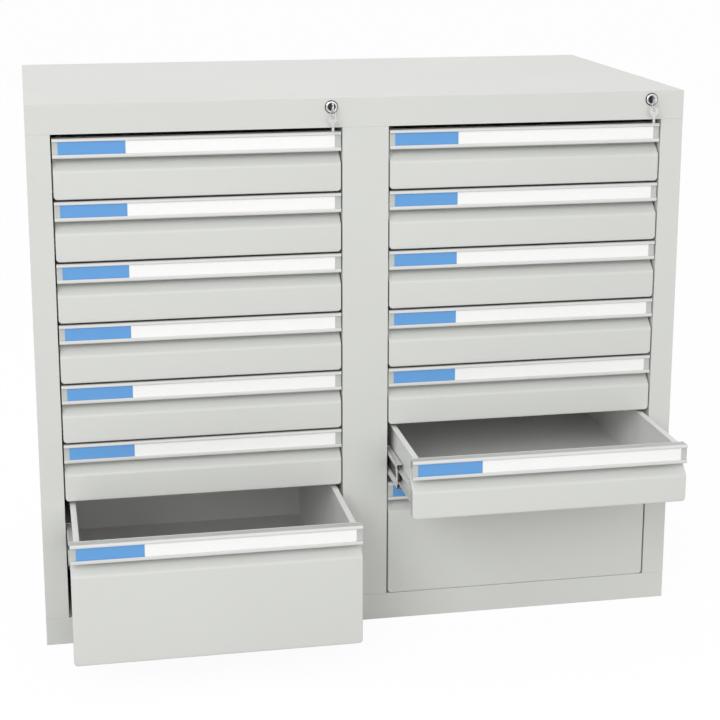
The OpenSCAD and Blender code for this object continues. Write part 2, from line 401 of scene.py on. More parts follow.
PAINT = PowderCoat("light_grey_powder_coat", Slot.POWDER, (0.70, 0.71, 0.68))
# A lighter copy of the cabinet's powder coat for the trays: painted light that brightens their dim insides.
TRAY_PAINTED_LIGHT = PowderCoat("tray_powder_coat_painted_light", Slot.POWDER, (0.80, 0.805, 0.785), 700.0, 0.5)
HANDLE_METAL = DrawnMetal("satin_anodised_aluminium", Slot.HANDLE, (0.73, 0.725, 0.71), gloss=0.42,
                          metal=0.15)
# A darker copy of the handle's aluminium for the channel's web: painted shade under the lips.
CHANNEL_PAINTED_SHADE = DrawnMetal("channel_web_painted_shade", Slot.HANDLE, (0.55, 0.575, 0.55), gloss=0.45, metal=0.15)
# Near-black painted shade for the recessed webs of the middle rails, between their tracks.
RAIL_PAINTED_SHADE = PowderCoat("rail_web_painted_shade", Slot.ZINC, (0.045, 0.047, 0.046), 900.0, 0.38)
RAIL_ZINC = ZincPlate("zinc_plated_rail", Slot.ZINC, (0.72, 0.73, 0.72), 0.4)
BAR_ZINC = ZincPlate("zinc_plated_bar", Slot.ZINC, (0.58, 0.60, 0.60))
LOCK_CHROME = BrightPlate("lock_chrome", Slot.CHROME, (0.62, 0.63, 0.65))
# Near-black plating for the lock: painted dark reflection and shade on the plug, the dish round the bore and
# the flange's rim.
LOCK_PAINTED_DARK = BrightPlate("lock_painted_dark_reflection", Slot.CHROME, (0.05, 0.052, 0.055), 0.25)
BALL_STEEL = BrightPlate("polished_ball_steel", Slot.ZINC, (0.70, 0.71, 0.72), 0.06)
KEY_METAL = BrightPlate("nickel_plated_key", Slot.KEY, (0.62, 0.62, 0.61), 0.32)
RING_METAL = DrawnMetal("sprung_steel_wire", Slot.KEY, (0.62, 0.62, 0.62), (400.0, 400.0, 400.0), 0.22)
CARD_BLUE = LabelCard("blue_card", Slot.HANDLE, (0.14, 0.375, 0.75), 0.0)
CARD_WHITE = LabelCard("white_card", Slot.HANDLE, (0.98, 0.98, 0.975), 0.3)


@cache
def material_of(finish: Finish) -> bpy.types.Material:
    """Returns a finish's material, made the first time."""
    return finish.material()


def spaced(start: float, stop: float, steps: int) -> list[float]:
    """Returns evenly spaced values from a start to a stop."""
    return [start + (stop - start) * step / steps for step in range(steps + 1)]


def mirrored(corners: Sequence[Corner]) -> list[Corner]:
    """Returns corners and, in reverse order, their images below or above a height of 0."""
    return [*corners, *((x, -z, radius) for x, z, radius in reversed(corners))]


def rounded(corners: Sequence[Corner], closed: bool = True, steps: int = 4) -> list[Flat]:
    """Rounds the corners of an outline.

    Args:
        corners: Each corner's place and radius. A radius of 0 stays sharp.
        closed: Whether the last corner joins the first.
        steps: Steps in each arc.

    Returns:
        The outline's points.
    """
    outline: list[Flat] = []
    count = len(corners)
    for index, (x, y, radius) in enumerate(corners):
        end = not closed and index in (0, count - 1)
        if radius <= 0 or end:
            outline.append((x, y))
            continue
        here = Vector((x, y))
        back = (Vector(corners[index - 1][:2]) - here).normalized()
        ahead = (Vector(corners[(index + 1) % count][:2]) - here).normalized()
        half = back.angle(ahead) / 2
        middle = here + (back + ahead).normalized() * (radius / math.sin(half))
        first = here + back * (radius / math.tan(half)) - middle
        last = here + ahead * (radius / math.tan(half)) - middle
        for share in spaced(0, 1, steps):
            outline.append(tuple(middle + radius * first.slerp(last, share).normalized()))
    return outline


def rectangle(low: Sequence[float], high: Sequence[float], radius: float = 0.0) -> list[Flat]:
    """Returns an upright rectangle with rounded corners."""
    corners = (low, (high[0], low[1]), high, (low[0], high[1]))
    return rounded([(x, y, radius) for x, y in corners])


def mesh_of(name: str, build: Callable[[Shape], None], sheet: bool = False) -> bpy.types.Mesh:
    """Returns the mesh of a name, built the first time and smooth but for its sharp edges.

    Args:
        name: The mesh's name.
        build: Adds the faces to an empty shape.
        sheet: Whether it is an open sheet that faces the front, smooth all over.

    Returns:
        The mesh.
    """
    if name in bpy.data.meshes:
        return bpy.data.meshes[name]
    bm = bmesh.new()
    build(bm)
    bmesh.ops.recalc_face_normals(bm, faces=bm.faces)
    if sheet and sum(face.normal.y * face.calc_area() for face in bm.faces) > 0:
        bmesh.ops.reverse_faces(bm, faces=bm.faces)
    mesh = bpy.data.meshes.new(name)
    bm.to_mesh(mesh)
    bm.free()
    mesh.shade_smooth()
    if not sheet:
        mesh.set_sharp_from_angle(angle=CREASE)
    return mesh


def linked(name: str, data: bpy.types.ID) -> bpy.types.Object:
    """Makes an object of some data and links it to the scene.

    Args:
        name: The object's name.
        data: Its mesh, curve, light or camera.

    Returns:
        The object.
    """
    made = bpy.data.objects.new(name, data)
    bpy.context.scene.collection.objects.link(made)
    return made


def circle(radius: float, sides: int, centre: Flat = (0, 0)) -> list[Flat]:
    """Returns the corners of a regular outline round a centre."""
    x, y = centre
    return [(x + radius * math.cos(a), y + radius * math.sin(a)) for a in spaced(0, math.tau, sides)[:-1]]


def add_rings(bm: Shape, rings: Sequence[Sequence[bmesh.types.BMVert]], capped: bool = False) -> None:
    """Joins each ring of points, or single point, to the next one with faces.

    Args:
        bm: The shape to add to.
        rings: The rings, in order.
        capped: Whether the first and last ring are closed with a face.
    """
    sides = max(len(ring) for ring in rings)
    for near, far in zip(rings, rings[1:]):
        for side in range(sides):
            steps = (near, side), (near, side + 1), (far, side + 1), (far, side)
            loop = [ring[step % len(ring)] for ring, step in steps]
            bm.faces.new(list(dict.fromkeys(loop)))
    if capped:
        bm.faces.new(rings[0])
        bm.faces.new(list(reversed(rings[-1])))


def add_prism(bm: Shape, outline: Sequence[Flat], start: float, stop: float, axis: Axis) -> None:
    """Adds a closed outline drawn out along an axis.

    Args:
        bm: The shape to add to.
        outline: The outline's points in the axis's two flat directions.
        start: Where the prism starts along the axis.
        stop: Where it stops.
        axis: The direction.
    """
    rings = []
    for depth in (start, stop):
        spots = [(first, second, depth) for first, second in outline]
        rings.append([bm.verts.new([spot[part] for part in axis.value]) for spot in spots])
    add_rings(bm, rings, capped=True)


def add_box(bm: Shape, low: Sequence[float], high: Sequence[float]) -> None:
    """Adds a block from its low to its high corner."""
    add_prism(bm, rectangle(low[:2], high[:2]), low[2], high[2], Axis.Z)


def add_lathe(bm: Shape, profile: Sequence[Flat], centre: Flat, sides: int = 48) -> None:
    """Adds a profile turned round an axis along Y.

    Args:
        bm: The shape to add to.
        profile: Points as radius and depth along Y. A radius of 0 closes the end.
        centre: The axis's X and Z.
        sides: Steps round the axis.
    """
    rings = []
    for radius, depth in profile:
        spots = circle(radius, sides, centre) if radius else [centre]
        rings.append([bm.verts.new((x, depth, z)) for x, z in spots])
    add_rings(bm, rings)


def add_tube(bm: Shape, path: Sequence[Vector], radius: float, sides: int = 10) -> None:
    """Adds a round wire along a path.

    Args:
        bm: The shape to add to.
        path: The points on the wire's middle line.
        radius: The wire's radius.
        sides: Sides of its section.
    """
    rings = []
    normal = Vector((0, 0, 1))
    for index, here in enumerate(path):
        before, after = path[max(index - 1, 0)], path[min(index + 1, len(path) - 1)]
        along = (after - before).normalized()
        normal = (normal - along * normal.dot(along)).normalized()
        side = along.cross(normal)
        rings.append([bm.verts.new(here + a * normal + b * side) for a, b in circle(radius, sides)])
    add_rings(bm, rings, capped=True)


def add_dome(bm: Shape, place: Sequence[float], radius: float, flat: float = 1.0) -> None:
    """Adds a small ball, flattened along X, as a weld mark, rivet head or bearing ball."""
    matrix = Matrix.Translation(place) @ Matrix.Diagonal((flat, 1, 1, 1))
    bmesh.ops.create_icosphere(bm, subdivisions=2, radius=radius, matrix=matrix)


def mark(bm: Shape, inside: Callable[[Vector], bool]) -> None:
    """Gives the faces whose middle passes a test the second finish of their mesh."""
    for face in bm.faces:
        face.material_index = int(inside(face.calc_center_median()))


@dataclass
class Piece:
    """One mesh object of the cabinet: its place, what it rides on and its finish."""

    name: str
    mesh: bpy.types.Mesh
    body: str
    finish: Finish
    place: Sequence[float] = (0, 0, 0)
    turn: Matrix = field(default_factory=lambda: Matrix.Identity(4))
    bend: float = 0.0
    skin: float = 0.0
    replaces: str = ""
    second: Finish | None = None

    def make(self) -> None:
        """Makes the object, with its sheet thickness and rounded edges, and seats it on its body."""
        made = linked(self.name, self.mesh)
        made.matrix_world = Matrix.Translation(self.place) @ self.turn
        if not self.mesh.materials:
            for finish in filter(None, (self.finish, self.second)):
                self.mesh.materials.append(material_of(finish))
        if self.skin:
            solid = made.modifiers.new("sheet", "SOLIDIFY")
            set_values(solid, thickness=self.skin, offset=-1.0, use_even_offset=True)
        if self.bend:
            round_edges(made, self.bend)
        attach(made, self.body)
        if self.replaces:
            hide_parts(self.replaces)
        log.info("%s rides on %s", self.name, self.body)


def round_edges(target: bpy.types.Object, width: float) -> None:
    """Rounds an object's sharp edges by a width in metres."""
    bevel = target.modifiers.new("bend", "BEVEL")
    set_values(bevel, width=width, segments=3, limit_method="ANGLE", angle_limit=math.radians(40),
               harden_normals=True, use_clamp_overlap=True)


def dress_node(node: str, finish: Finish, bend: float = 0.0) -> None:
    """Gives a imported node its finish, and rounds its edges.

    Args:
        node: The node's name.
        finish: Its finish.
        bend: The width of its rounded edges in metres, or 0.
    """
    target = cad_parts[node]
    target.data.materials.clear()
    target.data.materials.append(material_of(finish))
    if bend:
        set_values(target.modifiers.new("weld", "WELD"), merge_threshold=0.005 * MM)
        flat = target.modifiers.new("flat", "DECIMATE")
        set_values(flat, decimate_type="DISSOLVE", angle_limit=math.radians(1))
        round_edges(target, bend)
    log.info("%s keeps its packed shape", node)


@dataclass
class Carcass:
    """The fixed steelwork: top cover, sides, centre post, base and back panel."""

    bend: float = 1.1 * MM
    back_corner: float = 2 * MM
    back_bend: float = 0.2 * MM
    screw_radius: float = 3.2 * MM
    screw_height: float = 1.0 * MM
    screw_pitch: float = 190 * MM
    screw_inset: float = 16 * MM
    screw_sides: int = 20
    screw_head: tuple[Flat, ...] = ((1, -0.3), (1, 0.3), (0.75, 0.85), (0.3, 0.85), (0.25, 0.2), (0, 0.2))
    back_step: float = 0.9 * MM

    def build_back(self, bm: Shape) -> None:
        """Builds the back panel as a sheet with rounded corners, a little inside the flanges round it.

        Args:
            bm: The shape to add to.
        """
        low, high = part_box("back_panel")
        outline = rectangle((low.x, low.z), (high.x, high.z), self.back_corner)
        add_prism(bm, outline, low.y, high.y - self.back_step, Axis.Y)

    def build_screws(self, bm: Shape) -> None:
        """Builds the row of screw heads along each edge of the back panel.

        Args:
            bm: The shape to add to.
        """
        low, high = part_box("back_panel")
        rear = high.y - self.back_step
        columns = self.spread(low.x + self.screw_inset, high.x - self.screw_inset)
        rows = self.spread(low.z + self.screw_inset, high.z - self.screw_inset)
        spots = [(x, z) for x in columns for z in (rows[0], rows[-1])]
        spots += [(x, z) for x in (columns[0], columns[-1]) for z in rows[1:-1]]
        profile = [(x * self.screw_radius, rear + y * self.screw_height) for x, y in self.screw_head]
        for spot in spots:
            add_lathe(bm, profile, spot, self.screw_sides)

    def spread(self, start: float, stop: float) -> list[float]:
        """Places screws evenly between two limits, no further apart than the pitch."""
        return spaced(start, stop, math.ceil((stop - start) / self.screw_pitch))

    def dress(self) -> None:
        """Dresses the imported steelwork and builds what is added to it."""
        for node in ("base", "top_cover", "left_side", "right_side", "centre_post"):
            dress_node(node, PAINT, self.bend)
        dress_node("fixed_rails", RAIL_ZINC, CUT)
        Piece("back_sheet", mesh_of("back_sheet", self.build_back), "cabinet", PAINT, bend=self.back_bend,
              replaces="back_panel").make()
        Piece("back_screws", mesh_of("back_screws", self.build_screws), "cabinet", RAIL_ZINC).make()


@dataclass
class Rail:
    """The section of one slide member: its web and two flanges, measured from the cabinet's wall."""

    web: float
    edge: float
    half: float
    recess: float = 0.0
    recess_half: float = 11 * MM
    sheet: float = 1.4 * MM
    bend: float = 1.2 * MM
    ease: float = 0.6 * MM
    track: float = 5 * MM

    def outline(self, side: int, rise: float, wall: float) -> list[Flat]:
        """Draws the section on one side of a drawer.

        Args:
            side: -1 for the left side, 1 for the right.
            rise: Height of the slide's middle.
            wall: X of the cabinet's wall from the drawer's middle.

        Returns:
            The outline in X and Z.
        """
        turn = 1 if self.edge > self.web else -1
        inner, tip = self.web + turn * self.sheet, self.edge
        low, near, ease = -self.half, self.recess_half, self.ease
        corners = mirrored([(self.web, low, self.bend), (tip, low, CUT), (tip, low + self.sheet, CUT),
                            (inner, low + self.sheet, FOLD)])
        if self.recess:
            slope, deep = near + self.recess, inner + self.recess
            corners[4:4] = mirrored([(inner, -slope - FOLD, ease), (deep, -near - FOLD, ease)])
            corners += mirrored([(self.web, slope, ease), (self.web + self.recess, near, ease)])
        return rounded([(side * (wall - x), rise + z, r) for x, z, r in corners], steps=3)


INNER_PLATE = mirrored([(0.5, -9, 2), (26, -9, 5)])
STOP_PLATE = mirrored([(0.4, -15, 1.5), (11, -15, 2), (14, -8, 2), (8, -4, 2)])


@dataclass
class Drawer:
    """A drawer: folded front, tray, inner rails, catch, handle profile, cards and middle rails.

    The plates' outlines above are in millimetres along the slide, up, and in radius.
    """

    tag: str
    sheet: float = 1.2 * MM
    bend: float = 1.8 * MM
    slope_drop: float = 52 * MM
    slope_height: float = 17.5 * MM
    crease: float = 6 * MM
    rim: float = 12 * MM
    corner: float = 6 * MM
    sill: float = 3.1 * MM
    tall: float = 150 * MM
    head_gap: float = 0.5 * MM
    bend_steps: int = 4
    corner_steps: int = 6
    tray_lift: float = 5 * MM
    rim_drop: float = 2.5 * MM
    tray_flange: float = 9.5 * MM
    tray_reach: float = 4.5 * MM
    tray_lip: float = 3 * MM
    tray_bend: float = 2 * MM
    rear_fold: float = 9 * MM
    welds: int = 6
    weld_start: float = 0.08
    weld_pitch: float = 0.168
    weld_rise: float = 9 * MM
    weld_radius: float = 2.4 * MM
    slide_width: float = 13 * MM
    slide_drop: float = 65.5 * MM
    upper_lip: float = 5 * MM
    lower_lip: float = 6 * MM
    wall: float = 1.5 * MM
    card_hold: float = 1 * MM
    card_thickness: float = 0.6 * MM
    card_play: float = 0.2 * MM
    card_corner: float = 0.8 * MM
    card_start: float = 9 * MM
    card_end: float = 10 * MM
    card_gap: float = 0.1 * MM
    tab: float = 105 * MM
    fix_height: float = 16 * MM
    bead: float = 6.2 * MM
    step: float = 0.7 * MM
    inner_half: float = 11 * MM
    inner_start: float = 4.4 * MM
    inner_edge: float = 4.2 * MM
    set_off: float = 0.05 * MM
    rivets: int = 5
    rivet_start: float = 40 * MM
    rivet_pitch: float = 112 * MM
    rivet_radius: float = 3.2 * MM
    middle_web: float = 1.9 * MM
    middle_half: float = 20.6 * MM
    middle_edge: float = 11.5 * MM
    middle_recess: float = 3.2 * MM
    # Reach of the painted shade in the middle rails' webs, from the bay's edge.
    painted_shade_reach: Flat = (7.2 * MM, 3.5 * MM)
    stop_inset: float = 2.1 * MM
    stop_rivet: Flat = (6 * MM, 10 * MM)
    stop_rivet_radius: float = 1.8 * MM
    cage_inset: float = 8.6 * MM
    cage_rise: float = 15 * MM
    cage_reach: Flat = (14 * MM, 100 * MM)
    cage_half: float = 3.4 * MM
    balls: int = 7
    ball_start: float = 20 * MM
    ball_pitch: float = 12 * MM
    ball_radius: float = 1.3 * MM
    catch_gap: float = 2.5 * MM
    catch_rise: float = 26.5 * MM
    catch_height: float = 13 * MM
    catch_start: float = 33 * MM
    catch_sheet: float = 2 * MM
    catch_foot: float = 12 * MM

    def __post_init__(self) -> None:
        """Reads the drawer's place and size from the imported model."""
        self.box = f"drawer_box_{self.tag}"
        self.grip = f"handle_{self.tag}"
        self.rails = f"middle_rails_{self.tag}"
        low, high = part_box(self.grip)
        box_low, box_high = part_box(self.box)
        rail_low, rail_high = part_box(self.rails)
        self.half = (high.x - low.x) / 2
        self.height = high.z - box_low.z
        self.grip_height = high.z - low.z
        self.seat = high.y - low.y
        self.place = Vector(((low.x + high.x) / 2, low.y, box_low.z))
        self.length = box_high.y - low.y
        self.track = (rail_low.y - self.place.y, rail_high.y - self.place.y)
        self.bay = (rail_high.x - rail_low.x) / 2 + self.middle_web
        self.tray_half = self.bay - self.slide_width
        self.rise = self.height - self.slide_drop
        self.kind = f"{round(self.height / MM)}"

    def front_rows(self) -> list[tuple[float, float, float, float]]:
        """Lists the front's rows from its lower edge up.

        Returns:
            Each row's depth, the height of its bend's middle, and the bend's direction across and up.
        """
        foot = self.height - self.slope_drop
        base = self.corner - (self.sill if self.height > self.tall else 0)
        head, seat = foot + self.slope_height, self.seat
        corners = [(0, base, 0), (0, foot, self.crease), (seat, head, self.crease / 2),
                   (seat, self.height - self.head_gap, 0)]
        path = rounded(corners, closed=False, steps=self.corner_steps)[1:]
        turns = spaced(0, QUARTER, self.corner_steps)
        return [(0.0, base, math.sin(a), -math.cos(a)) for a in turns] + [(y, z, 1.0, 0.0) for y, z in path]

    def build_front(self, bm: Shape) -> None:
        """Builds the folded front: flat face, rounded lower corners, finger slope and folded rim.

        Args:
            bm: The shape to add to.
        """
        turns = spaced(0, QUARTER, self.bend_steps)
        bends = [(self.bend * (1 - math.sin(a)), self.bend * (1 - math.cos(a))) for a in turns]
        across = self.half - self.corner
        rows = []
        for depth, z, out, up in self.front_rows():
            half = []
            for inset, back in bends:
                reach = self.corner - inset
                half.append((across + reach * out, depth + back, z + reach * up))
            half.append((half[-1][0], max(self.rim, depth + self.bend + 2 * CUT), half[-1][2]))
            row = [(-x, y, height) for x, y, height in reversed(half)] + half
            rows.append([bm.verts.new(spot) for spot in row])
        left, right = rows[0][:len(bends) + 1], rows[0][:len(bends):-1]
        for lower, upper in (*zip(rows, rows[1:]), (left, right)):
            for index in range(len(lower) - 1):
                bm.faces.new((lower[index], lower[index + 1], upper[index + 1], upper[index]))

    def build_tray(self, bm: Shape) -> None:
        """Builds the folded tray with its side flanges, end walls and weld marks.

        Args:
            bm: The shape to add to.
        """
        low, top = self.tray_lift, self.height - self.rim_drop
        w, t = self.tray_half, self.sheet
        edge = w + self.tray_reach
        tip = edge - self.tray_flange
        right = [(w, low, self.tray_bend), (w, top - t, FOLD), (edge, top - t, CUT), (edge, top, 0.8 * MM),
                 (tip, top, 1.1 * MM), (tip, top - self.tray_lip, CUT), (tip + t, top - self.tray_lip, CUT),
                 (tip + t, top - t, 0.2 * MM), (w - t, top - t, 0.6 * MM), (w - t, low + t, 0.8 * MM)]
        left = [(-x, z, r) for x, z, r in reversed(right)]
        front, rear = self.seat + t, self.length
        add_prism(bm, rounded(right + left, steps=3), front, rear - t, Axis.Y)
        end = rounded([(-w, low, self.tray_bend), (w, low, self.tray_bend), (w, top, self.bend),
                       (-w, top, self.bend)], steps=3)
        for y in (front, rear - t):
            add_prism(bm, end, y, y + t, Axis.Y)
        fold = rear - self.rear_fold
        add_prism(bm, [(fold, top - t), (rear - t, top - t), (rear - t, top), (fold, top)], -tip, tip, Axis.X)
        for side in (-1, 1):
            for step in range(self.welds):
                y = front + (self.weld_start + self.weld_pitch * step) * (rear - front)
                for z in (self.rise - self.weld_rise, self.rise + self.weld_rise):
                    add_dome(bm, (side * (w - t), y, z), self.weld_radius, 0.14)

    def build_inner_rails(self, bm: Shape) -> None:
        """Builds the slide members that are fixed to the tray, with a plate and rivets.

        Args:
            bm: The shape to add to.
        """
        rail = Rail(self.slide_width - self.set_off, self.inner_edge, self.inner_half)
        start = self.seat + self.inner_start
        stop = start + self.track[1] - self.track[0]
        plate = rounded([(start + y * MM, self.rise + z * MM, r * MM) for y, z, r in INNER_PLATE])
        for side in (-1, 1):
            add_prism(bm, rail.outline(side, self.rise, self.bay), start, stop, Axis.Y)
        for side in (-1, 1):
            web = side * (self.tray_half + rail.sheet)
            add_prism(bm, plate, *sorted((web, web + side * MM)), Axis.X)
            for step in range(self.rivets):
                y = start + self.rivet_start + self.rivet_pitch * step
                add_dome(bm, (web, y, self.rise), self.rivet_radius, 0.3)

    def build_middle_rails(self, bm: Shape) -> None:
        """Builds the middle members, with a stop bracket at the front end.

        Args:
            bm: The shape to add to.
        """
        rail = Rail(self.middle_web, self.middle_edge, self.middle_half, self.middle_recess)
        for side in (-1, 1):
            add_prism(bm, rail.outline(side, 0, self.bay), 0.0, self.track[1] - self.track[0], Axis.Y)
        # The recessed webs between the tracks get the painted shade.
        near, far = (self.bay - reach for reach in self.painted_shade_reach)
        mark(bm, lambda spot: abs(spot.z) < rail.half - rail.track and near < abs(spot.x) < far)
        bracket = rounded([(y * MM, z * MM, r * MM) for y, z, r in STOP_PLATE])
        outer = self.bay - self.stop_inset
        y, z = self.stop_rivet
        for side in (-1, 1):
            add_prism(bm, bracket, *sorted((side * outer, side * (outer - MM))), Axis.X)
            for up in (-1, 1):
                add_dome(bm, (side * (outer - CUT), y, up * z), self.stop_rivet_radius, 0.2)

    def build_cages(self, bm: Shape) -> None:
        """Builds the ball cages between the middle and inner members: strips with bearing balls.

        Args:
            bm: The shape to add to.
        """
        start, stop = self.cage_reach
        for side in (-1, 1):
            for up in (-1, 1):
                x, z = side * (self.bay - self.cage_inset), up * self.cage_rise
                add_box(bm, (x - FOLD, start, z - self.cage_half), (x + FOLD, stop, z + self.cage_half))
                for step in range(self.balls):
                    add_dome(bm, (x, self.ball_start + step * self.ball_pitch, z), self.ball_radius)

    def build_catch(self, bm: Shape) -> None:
        """Builds the catch on the tray's right side, with its folded foot.

        Args:
            bm: The shape to add to.
        """
        low, high = self.tray_half, self.bay - self.catch_gap
        base = self.rise + self.catch_rise
        top = base + self.catch_height
        start, sheet = self.catch_start, self.catch_sheet
        add_prism(bm, rounded([(low, base, 0), (high, base, 1.5 * MM), (high, top, 3 * MM), (low, top, 0)]),
                  start, start + sheet, Axis.Y)
        add_box(bm, (low - sheet / 10, start, base), (low + sheet / 2, start + self.catch_foot, top))

    def build_handle(self, bm: Shape) -> None:
        """Builds the handle profile: a front bead, a label channel between two lips and a fixing flange.

        Args:
            bm: The shape to add to.
        """
        t, top, low, seat = self.wall, self.height, self.height - self.grip_height, self.seat
        channel = self.wall + t
        web, hold = channel + t, self.card_hold
        shelf, back, foot = top - self.step, seat - self.set_off, top - self.fix_height
        lower, upper = low + self.lower_lip, top - self.upper_lip
        corners = [
            (0, upper, 0.5 * MM), (0, top - 2 * MM, 1.4 * MM), (2.2 * MM, top, 1.4 * MM),
            (self.bead, top, 0.5 * MM), (self.bead + self.step, shelf, CUT), (seat - 0.6 * MM, shelf, FOLD),
            (back, shelf - 0.6 * MM, CUT), (back, foot, FOLD), (seat - t, foot, FOLD),
            (seat - t, shelf - t, 1.2 * MM), (web, shelf - t, 1.2 * MM), (web, low, 0.6 * MM),
            (1.3 * MM, low, MM), (0, low + 1.3 * MM, MM), (0, lower, 0.5 * MM), (t, lower, 0.25 * MM),
            (t, lower - hold, 0.1 * MM), (channel, lower - hold, 0.2 * MM), (channel, upper + hold, 0.2 * MM),
            (t, upper + hold, 0.1 * MM), (t, upper, 0.25 * MM),
        ]
        add_prism(bm, rounded(corners, steps=3), -self.half, self.half, Axis.X)
        # The channel's web gets the darker copy of the aluminium, as painted shade.
        mark(bm, lambda spot: spot.y >= channel - 0.2 * MM and abs(spot.x) <= self.half - 0.1 * MM)

    def build_card(self, bm: Shape, start: float, stop: float) -> None:
        """Builds one card in the channel.

        Args:
            bm: The shape to add to.
            start: X of its left end.
            stop: X of its right end.
        """
        back = 2 * self.wall - self.card_play
        low = self.height - self.grip_height + self.lower_lip - self.card_hold + self.card_play
        high = self.height - self.upper_lip + self.card_hold - self.card_play
        outline = rectangle((start, low), (stop, high), self.card_corner)
        add_prism(bm, outline, back - self.card_thickness, back, Axis.Y)

    def dress(self) -> None:
        """Builds the drawer's pieces and seats them on its two bodies."""
        drawer, rails = f"drawer_{self.tag}", f"rails_{self.tag}"
        left = -self.half + self.card_start
        split = left + self.tab
        blue = partial(self.build_card, start=left, stop=split)
        white = partial(self.build_card, start=split + self.card_gap, stop=self.half - self.card_end)
        track = self.place + Vector((0, self.track[0], self.rise))
        on_box, on_grip = (drawer, self.place, self.box), (drawer, self.place, self.grip)
        on_rails = (rails, track, self.rails)
        for part, build, finish, (body, place, node), extra in (
            ("front", self.build_front, PAINT, on_box, {"skin": self.sheet}),
            ("tray", self.build_tray, TRAY_PAINTED_LIGHT, on_box, {}),
            ("inner_rails", self.build_inner_rails, RAIL_ZINC, on_box, {}),
            ("catch", self.build_catch, BAR_ZINC, on_box, {"bend": 0.2 * MM}),
            ("grip", self.build_handle, HANDLE_METAL, on_grip, {"bend": 0.25 * MM, "second": CHANNEL_PAINTED_SHADE}),
            ("blue_card", blue, CARD_BLUE, on_grip, {"bend": 0.08 * MM}),
            ("white_card", white, CARD_WHITE, on_grip, {"bend": 0.08 * MM}),
            ("slide_rails", self.build_middle_rails, RAIL_ZINC, on_rails, {"second": RAIL_PAINTED_SHADE}),
            ("ball_cages", self.build_cages, BALL_STEEL, on_rails, {}),
        ):
            mesh = mesh_of(f"{part}_{self.kind}", build, part == "front")
            Piece(f"{part}_{self.tag}", mesh, body, finish, place, replaces=node, **extra).make()


